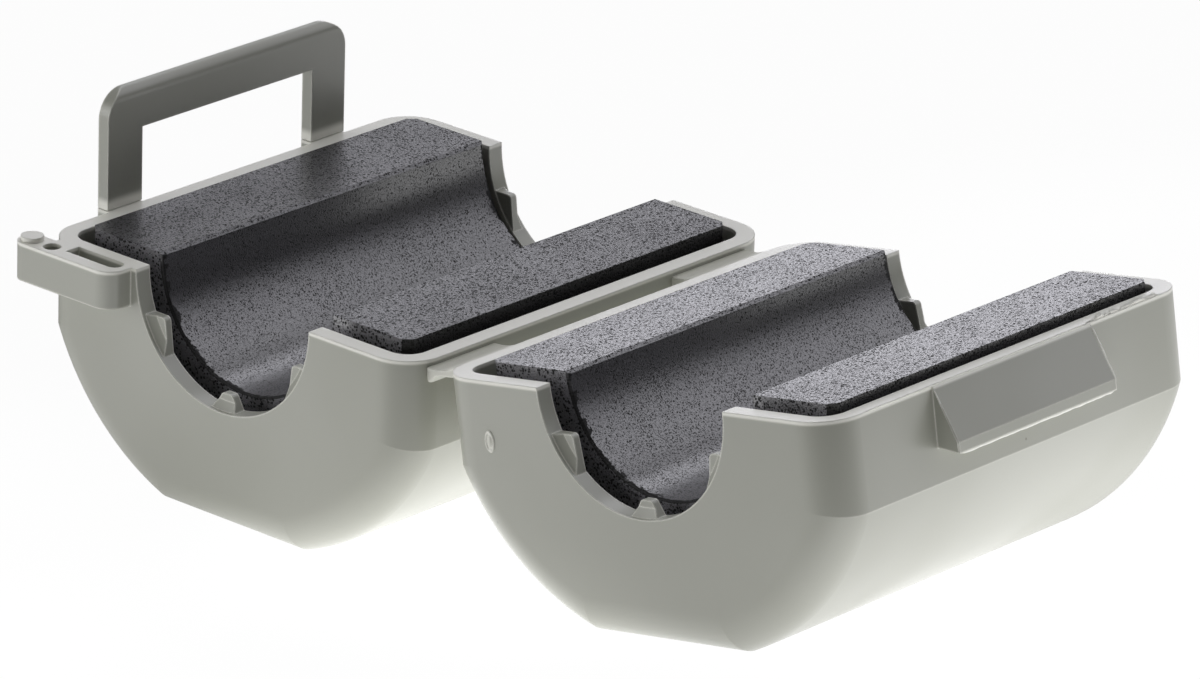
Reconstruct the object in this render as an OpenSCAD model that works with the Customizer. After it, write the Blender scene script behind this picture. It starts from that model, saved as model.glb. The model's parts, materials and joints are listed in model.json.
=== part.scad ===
// Clip-on ferrite bead, lying open.  Two moulded case halves hang on a living
// hinge, and each half carries one half of a split ferrite core.  A hoop on the
// first half snaps over a wedge catch on the second when the bead is folded shut
// round a cable.  Units are millimetres.  The cable runs along Y, the table is
// Z = 0, and the origin is below the middle of the outline.

/* [Case] */
// Width of each case half, across the cable
case_w = 30; // [27:0.5:33]
// Length of each case half, along the cable
case_l = 32; // [28:0.5:38]
// Depth of each case half, from its rim to its flat bottom
case_d = 14.75; // [14:0.25:16]
// Height of the upright part of the side walls, below the rim
side_flat = 5.7; // [4.5:0.1:6.5]
// Half width of the flat bottom
bottom_flat = 5.6; // [4.5:0.1:6.5]
// Radius that rounds the upright corners and the ends of the bottom
corner_r = 2.5; // [1.5:0.1:3.5]
// Thickness of the side walls and the barrel wall
side_wall = 1.1; // [0.8:0.1:1.4]
// Thickness of the two end walls
end_wall = 1.15; // [1:0.05:1.6]
// Radius of the half-round cable openings in the end walls
opening_r = 7.05; // [6:0.05:7.6]

/* [Core] */
// Radius of the cable bore, when the two core halves meet
bore_r = 6.95; // [6:0.05:7.6]
// Height of the core's mating face above the rim
core_proud = 0.4; // [0.2:0.05:0.6]
// Gap between the core and the side walls
core_gap = 0.85; // [0.5:0.05:1]
// Distance by which the core lies off the middle, away from the hinge
core_slip = 0.25; // [0:0.05:0.3]
// Gap between the core and the front end wall
core_front_gap = 1.15; // [0.4:0.05:1.3]
// Gap between the core and the rear end wall
core_rear_gap = 0.35; // [0.2:0.05:0.6]
// Chamfer on the core's four upright corners
core_chamfer = 0.5; // [0.2:0.05:0.8]
// Chamfer along the bore's two edges on the mating face
bore_chamfer = 0.2; // [0.1:0.05:0.6]
// Bevel at the two ends of the bore
bore_bevel = 0.15; // [0.1:0.05:0.4]
// Gap left between the two mating faces when the bead is shut
mate_gap = 0.05; // [0.02:0.01:0.1]

/* [Core seat] */
// Thickness of the cradle ribs under the core
rib_t = 1.2; // [0.8:0.1:2]
// Distance from each end wall to the middle of its cradle rib
rib_in = 7; // [5:0.5:10]
// Depth of the rib tops below the rim
rib_drop = 1.5; // [1:0.1:3]
// Width of the end stops that keep the core from sliding along the cable
stop_w = 1.5; // [1:0.1:2]
// Distance of the end stops from the middle of the case
stop_x = 10; // [9:0.25:10.5]
// Running gap between the core and its seat
seat_gap = 0.05; // [0.02:0.01:0.1]

/* [Cable teeth] */
// Height of the bottom tooth above the edge of the opening
tooth_h = 1; // [0.6:0.1:1.3]
// Half width of the bottom tooth at its tip
tooth_half_w = 0.4; // [0.3:0.02:0.6]
// Angle between the bottom tooth's flanks and the upright
tooth_flank = 30; // [15:1:40]
// Distance of the side teeth's top corner from the middle of the opening
tooth_x = 5.2; // [5:0.1:5.6]
// Angle by which the side teeth's inner edge leans towards the middle
tooth_lean = 7; // [0:1:10]
// Depth of the side teeth's top edge below the rim
tooth_drop = 2.75; // [2.5:0.05:3.2]
// Radius of the teeth's tip corners
tooth_r = 0.28; // [0.1:0.02:0.28]
// How far the teeth are set back from the outside of the end wall, at the root
tooth_front = 0.25; // [0.1:0.05:0.4]
// How far the teeth's front plane is set back from the outside of the end wall
tooth_set_back = 0.6; // [0.45:0.05:0.7]
// Thickness of the teeth at the tip
tooth_tip_t = 0.5; // [0.3:0.05:0.55]
// Height of the slope at the teeth's root
tooth_slope_h = 0.55; // [0.3:0.05:0.6]

/* [Hinge] */
// Width of the gap between the two rims when both lie level
hinge_gap = 2; // [1.6:0.1:2.6]
// Angle by which each half is raised at its outer side
tilt = 5.15; // [0:0.05:7]
// Thickness of the hinge webs
web_t = 0.6; // [0.4:0.05:0.8]
// Depth of the webs' top below the rim on the hoop's half
web_drop = 0.4; // [0.2:0.05:0.6]
// Depth of the bead that joins each web to the hoop's half
bead_t = 0.95; // [0.8:0.05:1.2]
// Width of that bead
bead_w = 0.7; // [0.5:0.05:0.8]
// Start of the front web, from the front end
web_front = 1.6; // [1.2:0.1:2]
// Length of the front web
web_front_l = 5.8; // [4:0.1:7]
// Distance of the rear web from the rear end
web_rear = 2.4; // [1.2:0.1:3]
// Length of the rear web
web_rear_l = 6.7; // [4:0.1:8]

/* [Latch] */
// Middle of the latch, from the front end
latch_y = 16; // [14:0.1:18]
// Width of the window in the hoop
window_w = 14.8; // [12:0.1:16]
// Height of the window in the hoop, above the rim
window_h = 4.75; // [4.5:0.05:5]
// Width of the hoop's legs
leg_w = 2.9; // [2:0.05:3.5]
// Height of the hoop's cross bar
bar_h = 2.7; // [2:0.1:3.5]
// Thickness of the hoop
hoop_t = 0.85; // [0.8:0.05:1.4]
// Gap between the hoop and the wall that it slides down
hoop_gap = 0.1; // [0.05:0.01:0.2]
// Radius of the hoop's outer corners
hoop_r = 1.8; // [1:0.1:2.5]
// Radius of the cross bar's leading edge
lead_r = 0.7; // [0.3:0.05:0.75]
// Height of the hoop's feet on the outside of the wall
foot_h = 2; // [1.5:0.1:3]
// Slit between hoop and feet, where the legs flex
flex_slit = 0.05; // [0.03:0.01:0.1]
// How far the wedge catch stands out from the wall
wedge_out = 1.6; // [1.3:0.05:1.8]
// Height of the wedge's upright lip
lip_h = 0.65; // [0.5:0.05:1]
// Height by which the wedge's ledge rises from the lip to the wall
wedge_barb = 0.2; // [0:0.05:0.3]
// Gap between the wedge and the window's front side
wedge_front_gap = 0.15; // [0.15:0.05:0.5]
// Gap between the wedge and the window's rear side
wedge_rear_gap = 0.65; // [0.15:0.05:0.8]
// Gap between the wedge's lip and the cross bar, when shut
catch_gap = 0.08; // [0.05:0.01:0.2]

/* [Tie lug] */
// How far the lug stands out from the front end wall
lug_out = 1.8; // [1.6:0.05:2.2]
// Height of the lug
lug_h = 2.4; // [2:0.1:3.5]
// Thickness of the strap in front of the slot
strap_t = 0.95; // [0.7:0.05:1.05]
// Gap between the lug and the cable opening
lug_inset = 0.45; // [0.3:0.05:0.8]
// Length of the slot for a cable tie
slot_l = 4.1; // [3.5:0.1:4.2]
// Distance of the slot from the lug's inner end
slot_in = 0.5; // [0.4:0.05:0.9]
// Depth of the slot's recess in the end wall
slot_recess = 0.25; // [0.1:0.05:0.4]
// Radius of the small hole beside the slot
eye_r = 0.55; // [0.3:0.05:0.6]
// Wall between the slot and the small hole
eye_wall = 0.55; // [0.4:0.05:0.7]
// How far the lug's tip reaches past the case's side
tip_out = 0.75; // [0.3:0.05:1]
// Radius of the round stud on the lug's tip
stud_r = 0.7; // [0.4:0.05:0.75]
// Height of the round stud on the lug's tip
stud_h = 0.3; // [0.2:0.05:0.6]
// Radius of the lug's outer corner beside the cable opening
lug_corner_r = 1.2; // [0.8:0.05:1.4]

/* [Hidden] */
$fn = 96;

shell_colour = "#a3a598";
core_colour = "#55545c";
// Small overlap that joins the pieces of one moulding, and clears cutters
weld = 0.3;
// Reach of the cutters past the faces that they cut
over = 1;

half_w = case_w / 2;
// Centre and radius of the barrel arc that runs from side_flat to bottom_flat
arc_z = (half_w * half_w - bottom_flat * bottom_flat + side_flat * side_flat
    - case_d * case_d) / (2 * (case_d - side_flat));
arc_r = sqrt(half_w * half_w + pow(side_flat + arc_z, 2));

// Core outline, inside the walls
core_w = half_w - side_wall - core_gap;
core_d = case_d - side_wall - core_gap;
core_arc_r = arc_r - side_wall - core_gap;
core_y0 = end_wall + core_front_gap;
core_y1 = case_l - end_wall - core_rear_gap;
core_l = core_y1 - core_y0;

// The hinge line is level with the plane where the two cores meet
pivot_h = core_proud + mate_gap / 2;
pivot_x = half_w + hinge_gap / 2;
inner_corner_r = max(0.4, corner_r - side_wall);

// Latch: when shut, the other rim is shut_gap away
shut_gap = 2 * pivot_h;
hoop_in = half_w + hoop_gap;
hoop_out = hoop_in + hoop_t;
hoop_top = window_h + bar_h;
catch_z = window_h - shut_gap - catch_gap;
window_y0 = latch_y - window_w / 2;
window_y1 = latch_y + window_w / 2;

// Lug, measured from the middle of the front end wall
lug_x0 = opening_r + lug_inset;
tip_r = lug_out / 2;
slot_x0 = lug_x0 + slot_in;
slot_x1 = slot_x0 + slot_l;
slot_y0 = strap_t - lug_out;
slot_r = (slot_recess - slot_y0) / 2;
eye_x = slot_x1 + eye_wall + eye_r;
lug_x1 = max(half_w + tip_out, eye_x + eye_r + tip_r);

// Reach of a point of a half from the hinge line, once the half is tilted
function reach(x, z) = (x + pivot_x) * cos(tilt) - (z - pivot_h) * sin(tilt);
// Height of a point of a half above the hinge line, once the half is tilted
function rise(x, z) = (x + pivot_x) * sin(tilt) + (z - pivot_h) * cos(tilt);

// Place of the hinge line: the outline is centred and the bottoms touch Z = 0
left_reach = max(
    reach(hoop_out, -foot_h), reach(half_w, -side_flat), reach(lug_x1, -lug_h));
right_reach = max(reach(half_w + wedge_out, -catch_z), reach(half_w, -side_flat));
hinge_x = (left_reach - right_reach) / 2;
hinge_z = -rise(-bottom_flat, -case_d);
front_y = (lug_out - case_l) / 2;

// Moves a half with its hinge side at +X from its own frame to its place.  In
// that frame the rim is Z = 0, the bore is over the Y axis and the front is Y = 0.
module base_place() {
    translate([hinge_x, front_y, hinge_z])
        rotate([0, tilt, 0])
            translate([-pivot_x, 0, -pivot_h])
                children();
}

// The same for the half with its hinge side at -X
module lid_place() {
    translate([hinge_x, front_y, hinge_z])
        rotate([0, -tilt, 0])
            translate([pivot_x, 0, -pivot_h])
                children();
}

// Rectangle from [x0, y0] to [x1, y1] with all four corners rounded
module rounded_rect(x0, y0, x1, y1, r) {
    translate([x0 + r, y0])
        square([x1 - x0 - 2 * r, y1 - y0]);
    translate([x0, y0 + r])
        square([x1 - x0, y1 - y0 - 2 * r]);
    for (x = [x0 + r, x1 - r], y = [y0 + r, y1 - r])
        translate([x, y])
            circle(r = r);
}

// Extrudes an XZ outline along Y, from y0 to y1
module along_y(y0, y1) {
    translate([0, y1, 0])
        rotate([90, 0, 0])
            linear_extrude(y1 - y0)
                children();
}

// Extrudes a YZ outline along X, from x0 to x1
module along_x(x0, x1) {
    translate([x0, 0, 0])
        rotate([90, 0, 90])
            linear_extrude(x1 - x0)
                children();
}

// Trough with the section of the case: upright sides, barrel and flat bottom,
// all rounded into the ends by r.  It is closed at the height top.
module trough(w, d, barrel_r, y0, y1, r, top) {
    intersection() {
        translate([0, 0, -d])
            linear_extrude(d + top)
                rounded_rect(-w, y0, w, y1, r);
        translate([0, y0, arc_z])
            rotate([-90, 0, 0])
                rotate_extrude()
                    intersection() {
                        rounded_rect(-barrel_r, 0, barrel_r, y1 - y0, r);
                        square([barrel_r, y1 - y0]);
                    }
        along_x(-w, w)
            rounded_rect(y0, -d, y1, 2 * d, r);
    }
}

// Section of the core with a gap round it, as an XZ outline
module core_outline(gap) {
    intersection() {
        translate([-core_w - gap, -core_d - gap])
            square([2 * (core_w + gap), core_d + core_proud + gap]);
        translate([0, arc_z])
            circle(r = core_arc_r + gap);
    }
}

// Half-round cable opening through both end walls
module cable_opening() {
    along_y(-over, case_l + over)
        circle(r = opening_r);
}

// Outline with a rounded top corner at the origin: the top edge runs to +X and
// the side runs down, leaning out by an angle
module leaning_corner(r, lean, w, h) {
    inset = r * (1 - sin(lean)) / cos(lean);
    polygon([
        [inset, 0], [w, 0], [w, -h], [-h * tan(lean), -h],
        [inset - r * cos(lean), r * sin(lean) - r]
    ]);
    translate([inset, -r])
        circle(r = r);
}

// The three teeth of one end wall, whose outside is Y = 0
module end_teeth() {
    root_r = opening_r + weld;
    back_y = tooth_set_back + tooth_tip_t;
    intersection() {
        rotate([-90, 0, 0])
            rotate_extrude()
                polygon([
                    [0, tooth_set_back], [opening_r - tooth_slope_h, tooth_set_back],
                    [opening_r, tooth_front], [root_r, tooth_front],
                    [root_r, back_y], [0, back_y]
                ]);
        along_y(0, back_y + over)
            for (side = [0, 1])
                mirror([side, 0]) {
                    translate([tooth_x, -tooth_drop])
                        leaning_corner(tooth_r, tooth_lean, root_r - tooth_x, root_r);
                    translate([-tooth_half_w, tooth_h - opening_r])
                        leaning_corner(tooth_r, tooth_flank, tooth_half_w, tooth_h + weld);
                }
    }
}

// Cradle ribs and end stops that hold the core clear of the walls
module core_seat(slip) {
    difference() {
        intersection() {
            trough(half_w - side_wall / 2, case_d - side_wall / 2,
                arc_r - side_wall / 2, side_wall / 2, case_l - side_wall / 2,
                inner_corner_r, -rib_drop);
            union() {
                for (y = [rib_in, case_l - rib_in])
                    translate([-half_w, y - rib_t / 2, -case_d])
                        cube([case_w, rib_t, case_d]);
                for (x = [-stop_x, stop_x]) {
                    translate([x - stop_w / 2, 0, -case_d])
                        cube([stop_w, core_y0 - seat_gap, case_d]);
                    translate([x - stop_w / 2, core_y1 + seat_gap, -case_d])
                        cube([stop_w, case_l - core_y1, case_d]);
                }
            }
        }
        along_y(core_y0 - seat_gap, core_y1 + seat_gap)
            translate([slip, 0])
                core_outline(seat_gap);
    }
}

// One case half: thin shell, cable openings, teeth and core seat.  The core lies
// off the middle by slip.
module half_shell(slip) {
    difference() {
        trough(half_w, case_d, arc_r, 0, case_l, corner_r, 0);
        trough(half_w - side_wall, case_d - side_wall, arc_r - side_wall,
            end_wall, case_l - end_wall, inner_corner_r, over);
        cable_opening();
    }
    core_seat(slip);
    end_teeth();
    translate([0, case_l, 0])
        mirror([0, 1, 0])
            end_teeth();
}

// Plan of the core: a rectangle with its four upright corners chamfered
module core_plan() {
    polygon([
        [core_chamfer - core_w, core_y0], [core_w - core_chamfer, core_y0],
        [core_w, core_y0 + core_chamfer], [core_w, core_y1 - core_chamfer],
        [core_w - core_chamfer, core_y1], [core_chamfer - core_w, core_y1],
        [-core_w, core_y1 - core_chamfer], [-core_w, core_y0 + core_chamfer]
    ]);
}

// One half of the core, with its bore centred on the plane where the halves meet
module half_core(slip) {
    mouth_r = bore_r + bore_chamfer;
    translate([slip, 0, 0])
        difference() {
            intersection() {
                along_y(core_y0, core_y1)
                    core_outline(0);
                translate([0, 0, -case_d])
                    linear_extrude(2 * case_d)
                        core_plan();
            }
            along_y(-over, case_l + over)
                translate([0, pivot_h])
                    circle(r = bore_r);
            along_y(-over, case_l + over)
                polygon([
                    [-mouth_r - over, core_proud + over], [-mouth_r, core_proud],
                    [-bore_r, core_proud - bore_chamfer],
                    [bore_r, core_proud - bore_chamfer],
                    [mouth_r, core_proud], [mouth_r + over, core_proud + over]
                ]);
            for (end = [0, 1])
                translate([0, core_y0 + end * core_l, pivot_h])
                    rotate([90 - 180 * end, 0, 0])
                        translate([0, 0, -bore_bevel])
                            cylinder(r1 = bore_r, r2 = bore_r + bore_bevel + over,
                                h = bore_bevel + over);
        }
}

// Feet that carry the hoop on the outside of the wall at -X
module hoop_feet() {
    for (y = [window_y0 - leg_w, window_y1])
        along_y(y, y + leg_w)
            polygon([
                [-hoop_out, 0], [-half_w + weld, 0],
                [-half_w + weld, -foot_h - hoop_out + half_w - weld],
                [-half_w, -foot_h - hoop_out + half_w], [-hoop_out, -foot_h]
            ]);
}

// Bail that stands on the feet and drops over the wedge
module hoop() {
    y0 = window_y0 - leg_w;
    y1 = window_y1 + leg_w;
    intersection() {
        along_x(-hoop_out, -hoop_in)
            difference() {
                rounded_rect(y0, -hoop_r - over, y1, hoop_top, hoop_r);
                translate([window_y0, -hoop_r - 2 * over])
                    square([window_w, hoop_r + 2 * over + window_h]);
                translate([y0 - over, -hoop_r - 2 * over])
                    square([y1 - y0 + 2 * over, hoop_r + 2 * over + flex_slit]);
            }
        along_y(y0, y1)
            union() {
                translate([-hoop_out, 0])
                    square([hoop_t, hoop_top - lead_r]);
                translate([-hoop_out, 0])
                    square([hoop_t - lead_r, hoop_top]);
                translate([-hoop_in - lead_r, hoop_top - lead_r])
                    circle(r = lead_r);
            }
    }
}

// Wedge on the outside of the wall at +X: a ramp, an upright lip and a ledge
module wedge_catch() {
    along_y(window_y0 + wedge_front_gap, window_y1 - wedge_rear_gap)
        polygon([
            [half_w - weld, 0], [half_w, 0],
            [half_w + wedge_out, -catch_z + lip_h], [half_w + wedge_out, -catch_z],
            [half_w, -catch_z + wedge_barb], [half_w - weld, -catch_z + wedge_barb]
        ]);
}

// Lug for a cable tie, on the front end wall towards -X
module tie_lug() {
    difference() {
        union() {
            translate([0, 0, -lug_h])
                linear_extrude(lug_h)
                    difference() {
                        lug_plan();
                        lug_slot();
                    }
            translate([tip_r - lug_x1, -tip_r, -lug_h]) {
                cylinder(r = tip_r, h = lug_h);
                cylinder(r = stud_r, h = lug_h + stud_h);
            }
        }
        translate([-eye_x, -tip_r, -lug_h - over])
            cylinder(r = eye_r, h = lug_h + 2 * over);
    }
}

// Plan of the lug: a bar with a round tip, filled in behind at the case's corner
module lug_plan() {
    translate([-lug_x1 + tip_r, -lug_out])
        square([lug_x1 - tip_r - lug_x0 - lug_corner_r, lug_out]);
    translate([-lug_x0 - lug_corner_r, -lug_out + lug_corner_r])
        square([lug_corner_r, lug_out - lug_corner_r + weld]);
    translate([-lug_x0 - lug_corner_r, -lug_out + lug_corner_r])
        circle(r = lug_corner_r);
    translate([-half_w + corner_r / 2, -tip_r])
        square([half_w - corner_r / 2 - slot_x1, tip_r + end_wall / 2]);
}

// Slot between the strap and the end wall, with a recess in the wall
module lug_slot() {
    translate([-slot_x1, slot_y0])
        square([slot_l - slot_r, 2 * slot_r]);
    translate([-slot_x0 - slot_r, slot_y0 + slot_r])
        circle(r = slot_r);
}

// Living-hinge web from the wall of the first half to the rim of the second
module hinge_web(y0, y1) {
    // Ends of the web on each half, from the hinge line
    base_x = -reach(-half_w, -web_drop);
    base_z = rise(-half_w, -web_drop);
    base_low = rise(-half_w, -web_drop - web_t);
    bead_low = rise(-half_w, -web_drop - bead_t);
    bead_x = -reach(-half_w, -web_drop - bead_t);
    lid_x = reach(-half_w, 0);
    lid_z = rise(-half_w, 0);
    lid_low_x = reach(-half_w, -web_t);
    lid_low = rise(-half_w, -web_t);
    translate([hinge_x, front_y, hinge_z])
        along_y(y0, y1)
            polygon([
                [base_x + seat_gap, base_z], [lid_x - seat_gap, lid_z],
                [lid_low_x - seat_gap, lid_low], [bead_x + bead_w, base_low],
                [bead_x + bead_w, bead_low], [bead_x + seat_gap, bead_low]
            ]);
}

module base_shell() {
    color(shell_colour)
        base_place() {
            difference() {
                half_shell(-core_slip);
                translate([0, 0, -lug_h])
                    linear_extrude(lug_h + over)
                        lug_slot();
            }
            tie_lug();
            hoop_feet();
        }
}

module latch_hoop() {
    color(shell_colour)
        base_place()
            hoop();
}

module base_core() {
    color(core_colour)
        base_place()
            half_core(-core_slip);
}

module lid_shell() {
    color(shell_colour)
        lid_place() {
            half_shell(core_slip);
            wedge_catch();
        }
}

module lid_core() {
    color(core_colour)
        lid_place()
            half_core(core_slip);
}

module hinge_web_front() {
    color(shell_colour)
        hinge_web(web_front, web_front + web_front_l);
}

module hinge_web_rear() {
    color(shell_colour)
        hinge_web(case_l - web_rear - web_rear_l, case_l - web_rear);
}

base_shell();
latch_hoop();
base_core();
lid_shell();
lid_core();
hinge_web_front();
hinge_web_rear();
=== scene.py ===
"""Dresses the clip-on ferrite bead: materials, small moulded details, lamps, floor and camera."""

import json
import logging
import math
from dataclasses import dataclass, field
from enum import Enum

import bpy
import numpy as np
from mathutils import Matrix, Vector


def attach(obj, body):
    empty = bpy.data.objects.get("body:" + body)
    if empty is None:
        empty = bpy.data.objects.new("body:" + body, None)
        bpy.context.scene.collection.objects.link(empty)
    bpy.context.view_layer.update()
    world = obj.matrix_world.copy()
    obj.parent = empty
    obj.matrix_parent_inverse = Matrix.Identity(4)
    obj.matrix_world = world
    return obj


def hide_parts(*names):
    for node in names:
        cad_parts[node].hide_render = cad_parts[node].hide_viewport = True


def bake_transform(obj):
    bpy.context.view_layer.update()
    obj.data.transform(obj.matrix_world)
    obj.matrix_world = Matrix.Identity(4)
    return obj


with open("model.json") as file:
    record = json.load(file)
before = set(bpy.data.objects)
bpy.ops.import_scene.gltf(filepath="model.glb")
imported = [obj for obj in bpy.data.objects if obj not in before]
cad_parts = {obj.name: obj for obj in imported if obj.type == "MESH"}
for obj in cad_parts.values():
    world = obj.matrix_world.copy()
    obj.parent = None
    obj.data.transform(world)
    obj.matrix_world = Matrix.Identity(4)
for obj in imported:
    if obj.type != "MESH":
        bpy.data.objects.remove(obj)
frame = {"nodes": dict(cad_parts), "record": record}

LOG = logging.getLogger("ferrite_bead")
MM = 0.001
BEVEL_SAMPLES = 4
GREY_SOCKET = "NodeSocketFloat"
# A Mix node has a set of sockets for each kind of value. These are the ones for colours.
MIX_FACTOR, MIX_FIRST, MIX_SECOND, MIX_RESULT = 0, 6, 7, 2
WHITE = (1.0, 1.0, 1.0, 1.0)
Colour = tuple[float, float, float, float]


class Body(Enum):
    """The two halves, named as their rigid bodies: the one with the hoop and the one it catches."""

    BASE = "base"
    LID = "lid"


class Finish(Enum):
    """The finishes of the bead: the record's two material slots, then pale nylon where it is thin,
    which partly carries painted light.
    """

    NYLON = "nylon"
    FERRITE = "ferrite"
    THIN_WEB = "thin_web"
    THIN_FLASH = "thin_flash"


# ---------------------------------------------------------------- shader helpers


class NodeSheet:
    """Thin wrapper that adds, sets and links shader nodes in one tree."""

    def __init__(self, tree: bpy.types.NodeTree) -> None:
        """Keeps the tree.

        Args:
            tree: The node tree to build in.
        """
        self.tree = tree

    def add(self, kind: str, **settings: object) -> bpy.types.Node:
        """Adds a node and sets its properties.

        Args:
            kind: The node's type, without the ShaderNode prefix.
            **settings: Properties of the node, such as operation.

        Returns:
            The new node.
        """
        prefix = "" if kind.startswith("Node") else "ShaderNode"
        node = self.tree.nodes.new(prefix + kind)
        for name, value in settings.items():
            setattr(node, name, value)
        return node

    def feed(self, node: bpy.types.Node, socket: object, value: object) -> None:
        """Sets one input of a node, by a link or by a plain value.

        Args:
            node: The node that takes the value.
            socket: The input's name or number.
            value: An output socket to link, or a number, tuple or colour.
        """
        target = node.inputs[socket]
        if isinstance(value, bpy.types.NodeSocket):
            self.tree.links.new(value, target)
        else:
            target.default_value = value

    def feed_all(self, node: bpy.types.Node, values: dict[str, object]) -> bpy.types.Node:
        """Sets several inputs of a node.

        Args:
            node: The node that takes the values.
            values: Each input's name, with its socket or plain value.

        Returns:
            The same node.
        """
        for name, value in values.items():
            self.feed(node, name, value)
        return node

    def group(self, tree: bpy.types.NodeTree, values: dict[str, object]) -> bpy.types.Node:
        """Places a shared group with its own values.

        Args:
            tree: The group's tree.
            values: Each input's name, with its socket or plain value.

        Returns:
            The group's node.
        """
        return self.feed_all(self.add("Group", node_tree=tree), values)

    def math(self, operation: str, a: object, b: object = 0.0,
             clamp: bool = False) -> bpy.types.NodeSocket:
        """Adds a Math node.

        Args:
            operation: Blender's name for the operation.
            a: First operand, a socket or a number.
            b: Second operand, a socket or a number.
            clamp: Whether the result is held between 0 and 1.

        Returns:
            The result's socket.
        """
        node = self.add("Math", operation=operation, use_clamp=clamp)
        self.feed(node, 0, a)
        self.feed(node, 1, b)
        return node.outputs[0]

    def ramp(self, value: object, low: float, high: float,
             to_low: float = 0.0, to_high: float = 1.0) -> bpy.types.NodeSocket:
        """Maps a value smoothly from one interval to another.

        Args:
            value: The socket to map.
            low: Where the ramp starts.
            high: Where the ramp ends.
            to_low: The result at and below low.
            to_high: The result at and above high.

        Returns:
            The mapped value's socket.
        """
        node = self.add("MapRange", interpolation_type="SMOOTHSTEP")
        for index, item in enumerate((value, low, high, to_low, to_high)):
            self.feed(node, index, item)
        return node.outputs[0]

    def noise(self, vector: object, scale: object, detail: float = 2.0,
              roughness: float = 0.5) -> bpy.types.NodeSocket:
        """Adds a noise texture and returns its grey value.

        Args:
            vector: The coordinates' socket.
            scale: Cells in a metre, a socket or a number.
            detail: Octaves of the noise.
            roughness: Weight of the finer octaves.

        Returns:
            The noise's value socket.
        """
        values = {"Vector": vector, "Scale": scale, "Detail": detail, "Roughness": roughness}
        return self.feed_all(self.add("TexNoise"), values).outputs["Fac"]

    def blend(self, factor: object, first: object, second: object) -> bpy.types.NodeSocket:
        """Mixes two colours.

        Args:
            factor: Share of the second colour.
            first: First colour, RGBA or socket.
            second: Second colour, RGBA or socket.

        Returns:
            The mixed colour's socket.
        """
        node = self.add("Mix", data_type="RGBA", blend_type="MIX")
        for index, item in ((MIX_FACTOR, factor), (MIX_FIRST, first), (MIX_SECOND, second)):
            self.feed(node, index, item)
        return node.outputs[MIX_RESULT]

    def split(self, vector: object) -> bpy.types.bpy_prop_collection:
        """Splits a vector and returns the sockets of its three parts."""
        return self.feed_all(self.add("SeparateXYZ"), {"Vector": vector}).outputs


def new_group(name: str, inputs: dict[str, float],
              outputs: tuple[str, ...]) -> tuple[NodeSheet, bpy.types.Node, bpy.types.Node]:
    """Starts a shader node group with named sockets.

    Args:
        name: The group's name.
        inputs: Float inputs and their defaults. A Vector input is always added.
        outputs: Names of the grey outputs.

    Returns:
        The sheet, the group's input node and its output node.
    """
    tree = bpy.data.node_groups.new(name, "ShaderNodeTree")
    tree.interface.new_socket(name="Vector", in_out="INPUT", socket_type="NodeSocketVector")
    for label, default in inputs.items():
        socket = tree.interface.new_socket(name=label, in_out="INPUT", socket_type=GREY_SOCKET)
        socket.default_value = default
    for label in outputs:
        tree.interface.new_socket(name=label, in_out="OUTPUT", socket_type=GREY_SOCKET)
    sheet = NodeSheet(tree)
    return sheet, sheet.add("NodeGroupInput"), sheet.add("NodeGroupOutput")


def edge_mask_group() -> bpy.types.NodeTree:
    """Builds the group that finds edges.

    The mask is 1 less the dot of the rounded normal and the face's own normal, times the gain.

    Returns:
        The node group, with output Mask.
    """
    reach = 0.17 * MM
    sheet, given, out = new_group("edge_mask", {"Gain": 6.0}, ("Mask",))
    bevel = sheet.add("Bevel", samples=BEVEL_SAMPLES)
    bevel.inputs["Radius"].default_value = reach
    plain = sheet.add("NewGeometry")
    dot = sheet.add("VectorMath", operation="DOT_PRODUCT")
    sheet.feed(dot, 0, bevel.outputs[0])
    sheet.feed(dot, 1, plain.outputs["Normal"])
    away = sheet.math("SUBTRACT", 1.0, dot.outputs["Value"])
    sheet.feed(out, "Mask", sheet.math("MULTIPLY", away, given.outputs["Gain"], clamp=True))
    return sheet.tree


def bore_mask_group() -> bpy.types.NodeTree:
    """Builds the group that tells the round bore from the core's flat faces.

    Both bores lie at the same distance from the hinge line, so the mask measures how far
    a point is from the bore's axis after folding X over that line.

    Returns:
        The node group, with output Mask, 1 on the bore and 0 elsewhere.
    """
    surely_bore, surely_flat = 0.02 * MM, 0.10 * MM
    inputs = {"Fold X": 0.0, "Axis X": 0.016, "Axis Z": 0.0156, "Radius": 0.00695}
    sheet, given, out = new_group("bore_mask", inputs, ("Mask",))
    place = sheet.split(given.outputs["Vector"])
    folded = sheet.math("ABSOLUTE", sheet.math("SUBTRACT", place[0], given.outputs["Fold X"]))
    across = sheet.math("SUBTRACT", folded, given.outputs["Axis X"])
    up = sheet.math("SUBTRACT", place[2], given.outputs["Axis Z"])
    square = sheet.math(
        "ADD", sheet.math("MULTIPLY", across, across), sheet.math("MULTIPLY", up, up)
    )
    over = sheet.math("SUBTRACT", sheet.math("SQRT", square), given.outputs["Radius"])
    sheet.feed(out, "Mask", sheet.ramp(over, surely_bore, surely_flat, 1.0, 0.0))
    return sheet.tree


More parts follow.
